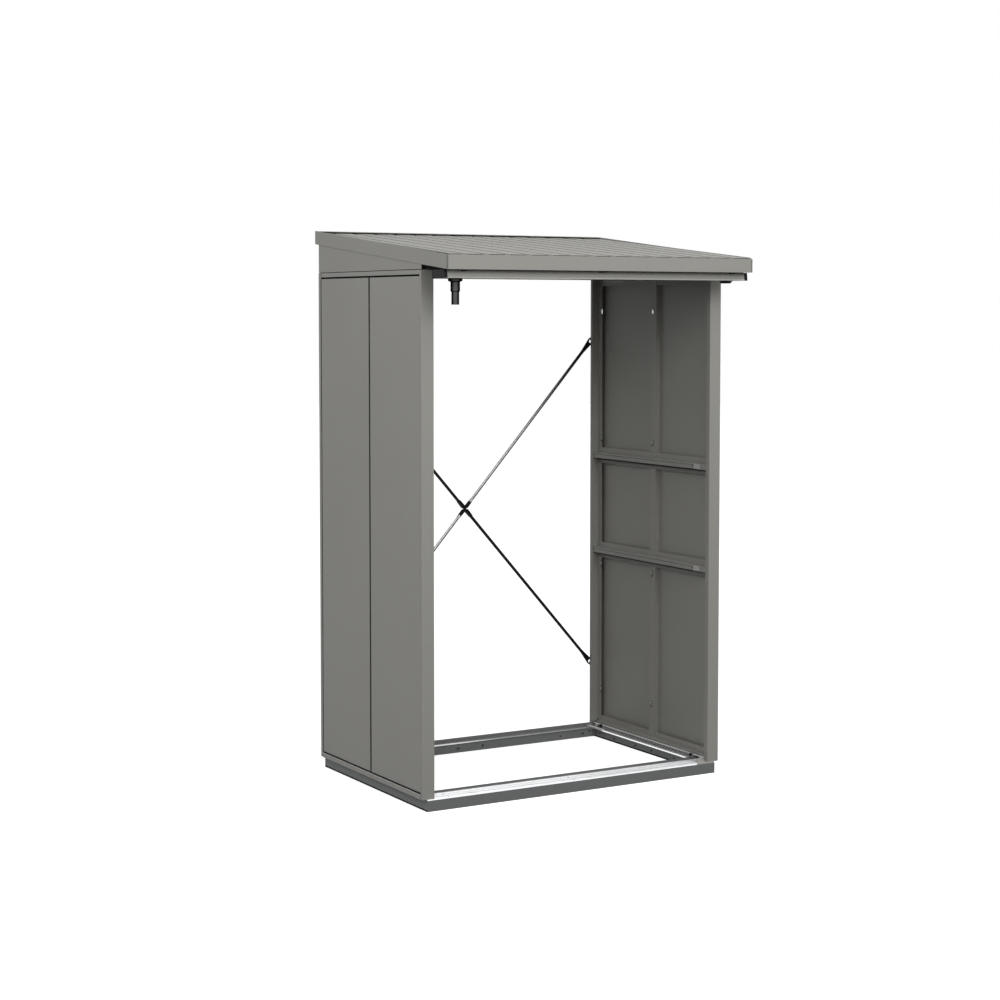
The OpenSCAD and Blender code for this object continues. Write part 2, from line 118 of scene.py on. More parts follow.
def blend_color(tree, factor, a, b):
    node = add_node(tree, "ShaderNodeMix", data_type="RGBA", _Factor=factor)
    colors = [s for s in node.inputs if s.type == "RGBA"]
    for socket, value in zip(colors, (a, b)):
        feed(tree, socket, value)
    return next(s for s in node.outputs if s.type == "RGBA")


def new_group(name, inputs, outputs):
    """A node group whose inputs, (name, value), and outputs, by name, are numbers."""
    group = bpy.data.node_groups.new(name, "ShaderNodeTree")
    for label, value in inputs:
        socket = group.interface.new_socket(label, in_out="INPUT",
                                            socket_type="NodeSocketFloat")
        socket.default_value = value
    for label in outputs:
        group.interface.new_socket(label, in_out="OUTPUT", socket_type="NodeSocketFloat")
    return group, group.nodes.new("NodeGroupInput"), group.nodes.new("NodeGroupOutput")


print("node helpers ready")

# %% [markdown]
# Powder coat is sprayed on dry and melts into a skin with a very fine orange peel.
# Seen close it is not one flat colour: the tone drifts slowly over a sheet and
# glitters a little. A painted image would do it for one sheet at one size. Noise in
# the object's own coordinates does it for all of them, and keeps the grain at the same
# real size everywhere, so it is made once, as a node group.

# %% node group: coat grain
GLITTER_FINER = 2.2                      # the flakes are finer than the orange peel
DRIFT_SCALE = 2.3                        # the tone drifts over about 0.4 m
grain, grain_in, grain_out = new_group(
    "coat grain", [("Size mm", 1.2), ("Stretch", 1.0)], ["Peel", "Drift", "Glitter"])
grain_at = add_node(grain, "ShaderNodeTexCoord").outputs["Object"]
grain_scale = maths(grain, "DIVIDE", 1000.0, grain_in.outputs["Size mm"])
squeeze = add_node(grain, "ShaderNodeCombineXYZ", _X=grain_in.outputs["Stretch"],
                   _Y=1.0, _Z=1.0)
stretched = vector_maths(grain, "MULTIPLY", grain_at, squeeze.outputs[0])["Vector"]
flakes = add_node(grain, "ShaderNodeTexVoronoi", _Vector=stretched,
                  _Scale=maths(grain, "MULTIPLY", grain_scale, GLITTER_FINER))
flake = add_node(grain, "ShaderNodeSeparateColor", _Color=flakes.outputs["Color"])
feed(grain, grain_out.inputs["Peel"], noise(grain, stretched, grain_scale, 3.0))
feed(grain, grain_out.inputs["Drift"], noise(grain, grain_at, DRIFT_SCALE, 4.0))
feed(grain, grain_out.inputs["Glitter"], flake.outputs[0])
print("group:", grain.name, len(grain.nodes), "nodes")

# %% [markdown]
# Along a fold the coat is a touch thinner, and the paler colour there is partly that wear and
# partly a painted highlight on the fold. The line could be painted by hand along each edge,
# but a Bevel node finds every edge by itself: it rounds the shading normal near them, and
# where that leans away from the true normal there is an edge. The distance between the two
# makes a clean mask.

# %% node group: edge wear and painted highlight
wear_and_highlight, wear_in, wear_out = new_group(
    "edge wear and highlight", [("Width mm", 1.5), ("Amount", 1.0)], ["Mask"])
wear_radius = maths(wear_and_highlight, "MULTIPLY", wear_in.outputs["Width mm"], MM)
rounded = add_node(wear_and_highlight, "ShaderNodeBevel", samples=4, _Radius=wear_radius)
true_normal = add_node(wear_and_highlight, "ShaderNodeNewGeometry").outputs["Normal"]
apart = vector_maths(wear_and_highlight, "DISTANCE", rounded.outputs["Normal"], true_normal)["Value"]
feed(wear_and_highlight, wear_out.inputs["Mask"],
     maths(wear_and_highlight, "MULTIPLY", apart, wear_in.outputs["Amount"], clamp=True))
print("group:", wear_and_highlight.name, len(wear_and_highlight.nodes), "nodes")

# %% [markdown]
# Outdoor sheet gathers a breath of dust where it faces up. The upward part of the
# surface normal gives that for any shape without painting a mask, and noise breaks it
# up, so that it never looks sprayed on.

# %% node group: settled dust
dust, dust_in, dust_out = new_group("settled dust", [("Amount", 0.2)], ["Mask"])
normal = add_node(dust, "ShaderNodeNewGeometry").outputs["Normal"]
facing = add_node(dust, "ShaderNodeSeparateXYZ", _Vector=normal)
upward = maths(dust, "MAXIMUM", facing.outputs["Z"], 0.0)
dust_at = add_node(dust, "ShaderNodeTexCoord").outputs["Object"]
patchy = maths(dust, "MULTIPLY", noise(dust, dust_at, 9.0, 6.0), upward)
feed(dust, dust_out.inputs["Mask"],
     maths(dust, "MULTIPLY", patchy, dust_in.outputs["Amount"], clamp=True))
print("group:", dust.name, len(dust.nodes), "nodes")

# %% [markdown]
# Every painted, foam or plastic finish is the same recipe with its own values: a base
# colour, drifting a few per cent either way, a paler colour along the edges and in the
# flakes, dust on top, and the grain as a bump. One function with named values makes
# all of them, so that a change to the recipe reaches every sheet. Colours are written
# as the eye sees them, from 0 to 255, and turned into the linear values that a
# renderer adds up.

# %% recipe for a coated finish
def linear(red, green, blue):
    def curve(value):
        value /= 255.0
        return value / 12.92 if value <= 0.04045 else ((value + 0.055) / 1.055) ** 2.4
    return (curve(red), curve(green), curve(blue), 1.0)


def scaled(color, factor):
    return tuple(min(1.0, v * factor) for v in color[:3]) + (1.0,)


def new_material(name):
    material = bpy.data.materials.new(name)
    material.use_nodes = True
    tree = material.node_tree
    return material, tree, tree.nodes["Principled BSDF"]


def add_bump(tree, shader, height, strength, depth):
    bump = add_node(tree, "ShaderNodeBump", _Strength=strength, _Distance=depth,
                    _Height=height)
    feed(tree, shader.inputs["Normal"], bump.outputs["Normal"])


PALEST = 0.75                            # edges and flakes lean towards this level
FLAKE_SHARE = 0.10                       # how far a flake pales the tone
EDGE_SHARE = 0.5                         # how far an edge does
FLAKE_ROUGHNESS = 0.12                   # how much flakes differ in roughness
PEEL_DEPTH = 0.0004
DUST_COLOR = linear(176, 172, 163)


def coated(name, color, rough, grain_mm=1.2, peel=0.06, drift=0.06, edge=0.25,
           dusty=0.12, specular=0.25):
    material, tree, shader = new_material(name)
    skin = add_node(tree, "ShaderNodeGroup", node_tree=grain, _Size_mm=grain_mm)
    worn_and_lit = add_node(tree, "ShaderNodeGroup", node_tree=wear_and_highlight, _Width_mm=1.2)
    dirt = add_node(tree, "ShaderNodeGroup", node_tree=dust, _Amount=dusty)
    base = linear(*color)
    pale = tuple(v + (PALEST - v) * edge for v in base[:3]) + (1.0,)
    tone = blend_color(tree, skin.outputs["Drift"], scaled(base, 1 - drift),
                       scaled(base, 1 + drift))
    for mask, share in ((skin.outputs["Glitter"], FLAKE_SHARE),
                        (worn_and_lit.outputs["Mask"], EDGE_SHARE)):
        tone = blend_color(tree, maths(tree, "MULTIPLY", mask, share), tone, pale)
    tone = blend_color(tree, dirt.outputs["Mask"], tone, DUST_COLOR)
    feed(tree, shader.inputs["Base Color"], tone)
    spread = maths(tree, "MULTIPLY", skin.outputs["Glitter"], FLAKE_ROUGHNESS)
    roughness = maths(tree, "ADD", spread, rough - FLAKE_ROUGHNESS / 2)
    feed(tree, shader.inputs["Roughness"], roughness)
    shader.inputs["Specular IOR Level"].default_value = specular
    add_bump(tree, shader, skin.outputs["Peel"], peel, PEEL_DEPTH)
    return material


print("coat recipe ready, dust colour:", [round(v, 3) for v in DUST_COLOR])

# %% [markdown]
# The walls and the roof are one paint on the real store. Here the roof sheet is written
# darker, because the high lamps shine more fully on it than an open sky would, and the front
# header darker still, for the shade that it lies in. The base is a greyer paint, and the
# inner rails of its frame get a lighter copy of it, painted light to lift their shade.
# Several paints serve for painted light and shade on small pieces: a darker one for the
# shadow under the wall rails, white, pale and light grey ones for highlights, and a dark one
# and a paler one for the shade and light in the side channels. Black plastic and foam also
# make painted shade in holes, gaps and along edges. Foam is rougher and coarser than paint,
# and plastic is smooth and almost without dust.

# %% painted, plastic and foam finishes
wall_paint = coated("wall_paint", (143, 142, 137), rough=0.46)
roof_paint = coated("roof_paint", (141, 140, 135), rough=0.44, dusty=0.2)
sheet_paint = coated("sheet_paint", (123, 122, 118), rough=0.44, dusty=0.2)
# a darker paint for the painted shadow that the wall rails cast on their flanges
rail_shadow_paint = coated("rail_shadow_paint", (113, 112, 108), rough=0.5)
shade_paint = coated("shade_paint", (70, 69, 67), rough=0.5, dusty=0.0, specular=0.1)
base_paint = coated("base_paint", (104, 106, 106), rough=0.5, drift=0.05)
# pale paint for the foot bracket, and for the painted highlight on the gutter's lower edge
pale_paint_and_highlight = coated("pale_paint_and_highlight", (170, 169, 164), rough=0.46, drift=0.05)
# white paint for painted highlights on the rear of the side lips and on the hem at the wall's
# foot
lip_highlight_paint = coated("lip_highlight_paint", (252, 252, 252), rough=0.3, drift=0.02, dusty=0.0)
# light grey for the painted highlight along the bottom rail's fold
band_highlight_paint = coated("band_highlight_paint", (196, 195, 190), rough=0.5, drift=0.04)
# a lighter paint for the painted highlight on the rail tongues
tongue_highlight_paint = coated("tongue_highlight_paint", (178, 177, 173), rough=0.45, drift=0.05)
# a dark paint for the painted shade in the side channels, and a paler one for the light on
# their beads
channel_shade_paint = coated("channel_shade_paint", (54, 56, 56), rough=0.55, drift=0.05)
bead_light_paint = coated("bead_light_paint", (120, 122, 122), rough=0.5, drift=0.05)
# a lighter copy of the base paint, painted light to lift the shade on the frame's inner rails
inner_lit_paint = coated("inner_lit_paint", (124, 126, 126), rough=0.5, drift=0.05)
# black plastic, also the painted shade inside holes in the base webs
black_plastic = coated("black_plastic", (15, 15, 16), rough=0.34, grain_mm=0.8, edge=0.04,
                       dusty=0.02, specular=0.08)
# black foam, also the painted shade in the wall's shadow gaps, round the clips and along
# edges
black_foam = coated("black_foam", (20, 20, 20), rough=0.85, grain_mm=2.5, peel=0.5,
                    edge=0.0, dusty=0.03, specular=0.1)
# grey foam for painted shade, under the wall rails and in the rear corners of the walls
grey_shadow_foam = coated("grey_shadow_foam", (80, 77, 72), rough=0.85, grain_mm=2.5, peel=0.5,
                   edge=0.0, dusty=0.03, specular=0.1)
dark_steel = coated("dark_steel", (16, 16, 17), rough=0.4, edge=0.06, dusty=0.01,
                    specular=0.12)
print("wall, roof and base paints:", [m.name for m in (wall_paint, roof_paint, base_paint)])

# %% [markdown]
# The sill and the bright lips of the base are bare extruded aluminium. The die leaves
# hair-thin lines along a bar, so on the sill the noise that makes them is drawn out a
# hundredfold from left to right. Studs, the sill's ribs and the flared rod ends are
# zinc plated: duller, with faint clouds instead of lines.

# %% recipe for bare metal
METAL_EDGE = linear(240, 241, 242)
LINE_SHARE = 0.5                         # how far the lines darken the tone
LINE_ROUGHNESS = 0.15                    # how much they add to the roughness
LINE_ROUGHNESS_MEAN = 0.07               # what that comes to on average
LINE_BUMP = 0.12
LINE_DEPTH = 0.0002


def bare_metal(name, color, rough, stretch, grain_mm, lines, clouds, metal):
    material, tree, shader = new_material(name)
    skin = add_node(tree, "ShaderNodeGroup", node_tree=grain, _Size_mm=grain_mm,
                    _Stretch=stretch)
    worn_and_lit = add_node(tree, "ShaderNodeGroup", node_tree=wear_and_highlight, _Width_mm=0.8)
    base = linear(*color)
    tone = blend_color(tree, skin.outputs["Drift"], scaled(base, 1 - clouds), base)
    line = maths(tree, "MULTIPLY", skin.outputs["Peel"], LINE_SHARE)
    tone = blend_color(tree, line, tone, scaled(base, 1 - lines))
    tone = blend_color(tree, worn_and_lit.outputs["Mask"], tone, METAL_EDGE)
    feed(tree, shader.inputs["Base Color"], tone)
    spread = maths(tree, "MULTIPLY", skin.outputs["Peel"], LINE_ROUGHNESS)
    roughness = maths(tree, "ADD", spread, rough - LINE_ROUGHNESS_MEAN)
    feed(tree, shader.inputs["Roughness"], roughness)
    shader.inputs["Metallic"].default_value = metal
    add_bump(tree, shader, skin.outputs["Peel"], LINE_BUMP, LINE_DEPTH)
    return material


sill_metal = bare_metal("sill_metal", (243, 244, 245), rough=0.36, stretch=0.01,
                        grain_mm=1.0, lines=0.1, clouds=0.03, metal=0.75)
lip_metal = bare_metal("lip_metal", (250, 251, 252), rough=0.24, stretch=0.05,
                       grain_mm=1.0, lines=0.02, clouds=0.02, metal=0.95)
clip_metal = bare_metal("clip_metal", (236, 237, 238), rough=0.3, stretch=1.0,
                        grain_mm=2.0, lines=0.05, clouds=0.03, metal=0.95)
zinc = bare_metal("zinc", (200, 201, 202), rough=0.45, stretch=1.0, grain_mm=6.0,
                  lines=0.06, clouds=0.04, metal=0.4)
print("bare metals:", [m.name for m in (sill_metal, lip_metal, clip_metal, zinc)])

# %% [markdown]
# The rods of the brace are drawn smooth, and the lower flank of a bright one is painted dark,
# as the shade under it. The flank is found from the distance to the rod's own axis. One rod
# grows darker towards its head, and a colour ramp along one axis does that. The same recipe
# serves the black spout, painted lighter in its middle as a highlight and dark at its sides
# as shade where they turn away, and the rear lip, painted bright at its left end and duller
# to the right, as a reflection that fades along it.

# %% recipe for graded finishes
BRACE_HEIGHT = 0.937                     # where the rods cross
ROD_ACROSS = (-0.746, 0.0, 0.666)        # square to the bright rods, pointing up
# the painted shade on a rod's lower flank fades in between these two distances
FLANK_STARTS = 0.0024                    # distances from the rod's axis, upwards
FLANK_ENDS = 0.0008


def graded(name, levels, start, end, flank_shade=0.0, sides=0.0, metal=0.25, deep=0.02,
           axis="Z", specular=0.1):
    """Grey levels along an axis, from start to end. Painted shade darkens the lower flank and
    the sides towards deep.
    """
    material, tree, shader = new_material(name)
    coords = add_node(tree, "ShaderNodeTexCoord").outputs["Object"]
    where = add_node(tree, "ShaderNodeSeparateXYZ", _Vector=coords)
    along = add_node(tree, "ShaderNodeMapRange", _From_Min=start, _From_Max=end,
                     _Value=where.outputs[axis])
    ramp = add_node(tree, "ShaderNodeValToRGB", _Fac=along.outputs["Result"])
    while len(ramp.color_ramp.elements) < len(levels):
        ramp.color_ramp.elements.new(0.5)
    for element, (place, level) in zip(ramp.color_ramp.elements, levels):
        element.position = place
        element.color = linear(level, level, level)
    rise = vector_maths(tree, "DOT_PRODUCT", coords, ROD_ACROSS)["Value"]
    rod_axis = BRACE_HEIGHT * ROD_ACROSS[2]
    shaded_flank = add_node(tree, "ShaderNodeMapRange", _From_Min=rod_axis + FLANK_STARTS,
                         _From_Max=rod_axis + FLANK_ENDS, _To_Max=flank_shade, _Value=rise)
    away = add_node(tree, "ShaderNodeLayerWeight", _Blend=0.5).outputs["Facing"]
    turned = maths(tree, "MULTIPLY", away, sides)
    painted_shade = maths(tree, "ADD", shaded_flank.outputs["Result"], turned, clamp=True)
    tone = blend_color(tree, painted_shade, ramp.outputs["Color"], (deep, deep, deep, 1.0))
    feed(tree, shader.inputs["Base Color"], tone)
    shader.inputs["Roughness"].default_value = 0.4
    shader.inputs["Metallic"].default_value = metal
    shader.inputs["Specular IOR Level"].default_value = specular
    return material


# painted shade on the rods' lower flanks, painted highlight and shade on the spout, a painted
# reflection on the rear lip
bright_rod = graded("bright_rod", [(0.0, 246), (1.0, 246)], 0.0, 1.0, flank_shade=0.84)
darkening_rod = graded("darkening_rod", [(0.0, 240), (0.34, 204), (0.52, 170), (0.7, 112),
                                 (0.87, 46), (1.0, 18)], 1.06, 1.56, flank_shade=0.84)
spout_painted_shading = graded("spout_painted_shading", [(0.0, 100), (1.0, 100)], 0.0, 1.0, sides=3.6,
                       metal=0.0, deep=0.001, specular=0.0)
lip_painted_reflection = graded("lip_painted_reflection", [(0.0, 255), (0.15, 250), (0.26, 214), (0.38, 166),
                               (1.0, 150)], -0.15, 0.57, metal=0.6, axis="X")
print("graded:", [m.name for m in (bright_rod, darkening_rod, spout_painted_shading, lip_painted_reflection)])

# %% [markdown]
# Each solid takes its finish from the part it is. Two modifiers follow: Weld joins
# the loose corners that the file format leaves along sharp edges, and Bevel rounds
# every fold by a fraction of a millimetre, so that it can catch a highlight. As
# modifiers they change nothing in the solid's own mesh.

# %% finishes of the solids
# The inner rails of the base take a lighter copy of its paint, painted light to lift their
# shade.
FINISH_OF_NODE = {
    "roof_sheet": sheet_paint, "front_fascia": roof_paint, "back_trim": roof_paint,
    "gutter": roof_paint, "gutter_spout": spout_painted_shading, "front_header": shade_paint,
    "back_seal": black_foam, "front_sill": sill_metal, "foot_bracket": pale_paint_and_highlight,
    "base_back_rail": inner_lit_paint, "base_right_rail": inner_lit_paint,
    "brace_centre": black_plastic, "brace_bolts": dark_steel,
    "brace_rod_upper_left": dark_steel, "brace_rod_lower_right": dark_steel,
    "brace_rod_upper_right": darkening_rod, "brace_rod_lower_left": bright_rod}
FINISH_OF_KIND = (("base_", base_paint), ("gutter_", black_plastic), ("", wall_paint))
WELD_DISTANCE = 0.00001
FOLD_MM = 0.35


def finish_of(node):
    of_kind = next(finish for kind, finish in FINISH_OF_KIND if node.startswith(kind))
    return FINISH_OF_NODE.get(node, of_kind)


for node, solid in sorted(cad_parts.items()):
    solid.data.materials.clear()
    solid.data.materials.append(finish_of(node))
    for polygon in solid.data.polygons:
        polygon.material_index = 0
    weld = solid.modifiers.new("join corners", "WELD")
    weld.merge_threshold = WELD_DISTANCE
    fold = solid.modifiers.new("soften folds", "BEVEL")
    fold.width = FOLD_MM * MM
    fold.segments = 2
    fold.limit_method = "ANGLE"
    fold.angle_limit = math.radians(35)
    fold.harden_normals = False
print("finished", len(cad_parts), "solids")

# %% [markdown]
# The small parts are built with bmesh, because each is a simple outline put to work.
# One tool runs an outline along an axis, for strips and folded clips, one makes plain
# blocks with it, and one turns an outline about an axis, for screws and knobs.

# %% tools that shape small parts
SIDES = ((-1, "left"), (1, "right"))
TURNS = {"Z": Matrix.Identity(4), "X": Matrix.Rotation(math.pi / 2, 4, "Y"),
         "-X": Matrix.Rotation(-math.pi / 2, 4, "Y"),
         "-Y": Matrix.Rotation(math.pi / 2, 4, "X")}
INWARD = {-1: "X", 1: "-X"}              # from the left wall and from the right one


def at(x, y, z, axis="Z"):
    """The place where an outline's own z axis points along the named axis."""
    return Matrix.Translation((x, y, z)) @ TURNS[axis]


def add_run(mesh, outline, length, place):
    """A closed outline of (x, y) run along z from 0 to length."""
    foot = [mesh.verts.new(place @ Vector((x, y, 0.0))) for x, y in outline]
    head = [mesh.verts.new(place @ Vector((x, y, length))) for x, y in outline]
    mesh.faces.new(list(reversed(foot)))
    mesh.faces.new(head)
    for i in range(len(outline)):
        j = (i + 1) % len(outline)
        mesh.faces.new((foot[i], foot[j], head[j], head[i]))


def add_block(mesh, side, x, y, z):
    """A block between two values of x, y and z. A side of -1 mirrors it to the left."""
    outline = [(side * x[0], y[0]), (side * x[1], y[0]), (side * x[1], y[1]),
               (side * x[0], y[1])]
    add_run(mesh, outline, z[1] - z[0], at(0, 0, z[0]))


def add_turned(mesh, outline, place, sides=20):
    """An outline of (radius, height), turned about z. A radius of 0 closes an end."""
    rings = []
    for radius, height in outline:
        if radius == 0:
            rings.append([mesh.verts.new(place @ Vector((0.0, 0.0, height)))])
            continue
        angles = [2 * math.pi * k / sides for k in range(sides)]
        rings.append([mesh.verts.new(place @ Vector(
            (radius * math.cos(a), radius * math.sin(a), height))) for a in angles])
    for low, high in zip(rings, rings[1:]):
        for k in range(sides):
            n = (k + 1) % sides
            if len(low) == 1:
                mesh.faces.new((low[0], high[n], high[k]))
            elif len(high) == 1:
                mesh.faces.new((low[k], low[n], high[0]))
            else:
                mesh.faces.new((low[k], low[n], high[n], high[k]))


print("outlines can face:", list(TURNS))

# %% [markdown]
# Every finished piece rides on the store's body. Parts of one kind share one mesh, which
# keeps the list of pieces short. A Bevel modifier softens the edges where a piece is large
# enough to show it.

# %% tool that finishes a piece
def make_piece(name, mesh, material, soften=0.2):
    bmesh.ops.recalc_face_normals(mesh, faces=mesh.faces)
    data = bpy.data.meshes.new(name)
    mesh.to_mesh(data)
    mesh.free()
    data.materials.append(material)
    piece = bpy.data.objects.new(name, data)
    scene.collection.objects.link(piece)
    if soften:
        fold = piece.modifiers.new("soften edges", "BEVEL")
        fold.width = soften * MM
        fold.segments = 2
        fold.limit_method = "ANGLE"
        fold.angle_limit = math.radians(40)
    data.shade_smooth()
    data.set_sharp_from_angle(angle=math.radians(35))
    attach(piece, "root")


# %% [markdown]
# Inside the base frame a bright lip runs round the opening. It is a narrow folded strip that
# lies on the rails, with a short hem turned down inside. The fold is one outline, run along
# each side. Towards the back the side lips are painted white, a painted highlight that keeps
# them as bright there as the metal's reflection makes them further forward. The rear lip is a
# slimmer one of the same fold, with a painted reflection that fades from left to right.

# %% bright lips of the base
base_right_low, base_right_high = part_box("base_right_rail")
base_back_low, base_back_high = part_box("base_back_rail")
base_front_low, base_front_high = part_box("base_front_rail")
LIP_W = 0.0145
LIP_T = 0.003
LIP_HEM = 0.003
LIP_JOINT_Y = 0.37                       # behind it the side lips are painted white
BACK_LIP_SIZE = 0.62
web_x = base_right_high.x - 0.0285       # the side rail's inner web
ledge_z = base_right_low.z + 0.037       # the ledge that the lips lie on
lip_x = web_x - LIP_W
lip_outline = [(0.0026, -LIP_HEM), (0.0041, -LIP_HEM), (0.003, 0), (LIP_W, 0),
               (LIP_W, LIP_T), (0, LIP_T)]
lip_runs = ((base_front_high.y, LIP_JOINT_Y, "_base_lip", lip_metal),
            (LIP_JOINT_Y, base_back_high.y - 0.002, "_lip_end_highlight", lip_highlight_paint))
for side, label in SIDES:
    for from_y, to_y, ending, material in lip_runs:
        lips = bmesh.new()
        outline = [(side * x, y) for x, y in lip_outline]
        add_run(lips, outline, to_y - from_y, at(side * lip_x, to_y, ledge_z, "-Y"))
        make_piece(label + ending, lips, material)
back_half = lip_x - LIP_W                # it stops a lip's width short of the side lips
place = Matrix.Translation((-back_half, base_back_low.y - 0.0075, ledge_z + 0.0004))
place = place @ Matrix(((0, 0, 1, 0), (1, 0, 0, 0), (0, 1, 0, 0), (0, 0, 0, 1)))
slim = [(x * BACK_LIP_SIZE, y * BACK_LIP_SIZE) for x, y in lip_outline]
lips = bmesh.new()
add_run(lips, slim, 2 * back_half, place)
make_piece("back_base_lip", lips, lip_painted_reflection)
print("lips at height", round(ledge_z + LIP_T, 4))

# %% [markdown]
# Between that lip and the wall the side rail has a sunk channel. A thin liner climbs across
# it to the wall's foot, stiffened by slanting half-round beads. The liner is painted dark, as
# the shade in the channel, and the beads paler, as the light on them. At this size a bump
# would lose the beads' round shadows, so each is a short half round in the mesh.

# %% liners with slanting beads in the side channels
BEAD_PITCH = 0.0195
BEAD_R = 0.0042
BEAD_FLATTEN = 0.7
BEAD_SLANT = math.radians(-22)
LINER_T = 0.0006
LINER_CLIMB = 0.64                       # rise over run
liner_x = (web_x + 0.0004, base_right_high.x - 0.0135)
liner_width = liner_x[1] - liner_x[0]
liner_z = ledge_z + LINER_T
liner_top = liner_z + liner_width * LINER_CLIMB
bead_along = Vector((math.cos(BEAD_SLANT), math.sin(BEAD_SLANT), 0))
bead_across = Vector((math.sin(BEAD_SLANT), -math.cos(BEAD_SLANT), 0))
bead_front = base_front_high.y + 0.01
bead_back = base_back_low.y - 0.02
bead_count = int((bead_back - bead_front) / BEAD_PITCH)
liner_y = (bead_front - 0.006, bead_back + 0.012)


def add_bead(mesh, side, y):
    """A half round from the lip to the wall, lifted by the climb of the liner."""
    rows = []
    for reach in (0, liner_width / math.cos(BEAD_SLANT)):
        start = Vector((liner_x[0], y, liner_z)) + bead_along * reach
        row = []
        for angle in (math.pi * k / 6 for k in range(7)):
            point = start + bead_across * (BEAD_R * math.cos(angle))
            lift = BEAD_R * BEAD_FLATTEN * math.sin(angle)
            climb = (point.x - liner_x[0]) * LINER_CLIMB
            row.append(mesh.verts.new((side * point.x, point.y, point.z + lift + climb)))
        rows.append(row)
    low, high = rows
    for i in range(len(low) - 1):
        mesh.faces.new((low[i], low[i + 1], high[i + 1], high[i]))
    mesh.faces.new((low[0], high[0], high[-1], low[-1]))
    mesh.faces.new(low)
    mesh.faces.new(list(reversed(high)))


for side, label in SIDES:
    beads = bmesh.new()
    for k in range(bead_count):
        add_bead(beads, side, bead_front + k * BEAD_PITCH)
    make_piece(label + "_channel_beads", beads, bead_light_paint, soften=0)
    liners = bmesh.new()
    liner = [(side * liner_x[0], liner_z), (side * liner_x[1], liner_top),
             (side * liner_x[1], liner_top - LINER_T),
             (side * liner_x[0], liner_z - LINER_T)]
    add_run(liners, liner, liner_y[1] - liner_y[0], at(0, liner_y[1], 0, "-Y"))
    make_piece(label + "_channel_liner", liners, channel_shade_paint, soften=0)
print("beads in each channel:", bead_count)

# %% [markdown]
# A black knob stands at each end of the channel, where the wall is pinned to the
# rail. It is turned from one outline: a short neck under a rounded head.

# %% channel knobs
KNOB_X = 0.579
KNOB_Y = (-0.201, 0.415)
KNOB_SUNK = 0.002
knob_outline = [(radius * MM, height * MM) for radius, height in
                ((0, 0), (5.2, 0), (5.2, 2.2), (4.4, 2.8), (4.4, 4.0), (5.4, 4.8),
                 (6.0, 7.0), (5.4, 9.6), (3.2, 11.0), (0, 11.6))]
knob_z = liner_z + (KNOB_X - liner_x[0]) * LINER_CLIMB - KNOB_SUNK
knobs = bmesh.new()
for side in (-1, 1):
    for y in KNOB_Y:
        add_turned(knobs, knob_outline, at(side * KNOB_X, y, knob_z))
make_piece("channel_knobs", knobs, black_plastic, soften=0)
print("knobs:", 2 * len(KNOB_Y))

# %% [markdown]
# A few black discs sit in holes in the webs of the base, as the painted shade inside the
# holes, and at the rear corners a bright tab climbs from the lip behind the knob. The discs
# are turned, and the tab is its own side view, run across its short width.

# %% corner tabs, and dark discs painted as shade in holes
PLUG_SIDES = 14
BACK_PLUGS = ((-0.0495, 0.0175), (0.0575, 0.018), (0.41, 0.0165), (0.5172, 0.0167),
              (0.5478, 0.0234))          # (x, z) on the back rail's web
SIDE_PLUGS = ((0.4315, 0.0162), (0.4059, 0.018), (0.3019, 0.0158), (0.1514, 0.016),
              (0.0425, 0.0165), (-0.1075, 0.0155))     # (y, z) on the side webs
TAB_Y = 0.453                            # its rear edge
TAB_W = 0.013
plug_outline = [(radius * MM, height * MM) for radius, height in
                ((0, 0), (3.2, 0), (3.2, 0.6), (2.4, 1.2), (0, 1.3))]
tab_outline = [(0.566, 0.0), (0.576, 0.0), (0.583, 0.0045), (0.5965, 0.0062),
               (0.5965, 0.0082), (0.583, 0.0065), (0.575, 0.002), (0.566, 0.002)]
hole_shades = bmesh.new()
for x, z in BACK_PLUGS:
    add_turned(hole_shades, plug_outline, at(x, base_back_low.y, z, "-Y"), PLUG_SIDES)
for side, label in SIDES:
    for y, z in SIDE_PLUGS:
        add_turned(hole_shades, plug_outline, at(side * web_x, y, z, INWARD[side]), PLUG_SIDES)
    tabs = bmesh.new()
    outline = [(side * x, z) for x, z in tab_outline]
    add_run(tabs, outline, TAB_W, at(0, TAB_Y, ledge_z + 0.0012, "-Y"))
    make_piece(label + "_corner_tab", tabs, lip_metal)
make_piece("hole_shade_discs", hole_shades, black_plastic, soften=0)
print("plugs:", len(BACK_PLUGS) + 2 * len(SIDE_PLUGS))

# %% [markdown]
# Spring clips hold the wall panels to the posts and to each other. Inside, each shows as a
# small rounded tab in a dark rim, with a bright stud above and a dark one below; the rim is
# painted shade round the tab. A clip is a stack of shrinking pill outlines, which gives it a
# rolled edge and a shallow dish. The top row is given bright bare metal, the others the
# wall's paint.

# %% panel clips
CLIP_HEIGHTS = (0.188, 0.692, 1.193, 1.694)
CLIP_Y = (0.4445, 0.088)
CLIP_W = 0.0105
CLIP_H = 0.022
CLIP_LEVELS = ((1.0, 0.0), (1.0, 0.0012), (0.62, 0.0022), (0.5, 0.0022), (0.42, 0.0014))
RIM_W = 0.0016                           # how far the dark rim shows round a clip
RIM_T = 0.0005
STUD_RISE = 0.0052                       # the bright stud, above the clip's middle
STUD_DROP = -0.0085                      # the dark one, below it
PILL_STEPS = 8
STUD_SIDES = 12
stud_outline = [(0, 0), (0.0024, 0), (0.0024, 0.0008), (0.0016, 0.0014), (0, 0.0016)]


def pill(half_w, half_h):
    points = []
    for turn, middle in ((0, half_h - half_w), (math.pi, half_w - half_h)):
        for k in range(PILL_STEPS + 1):
            a = turn + math.pi * k / PILL_STEPS
            points.append((half_w * math.cos(a), middle + half_w * math.sin(a)))
    return points


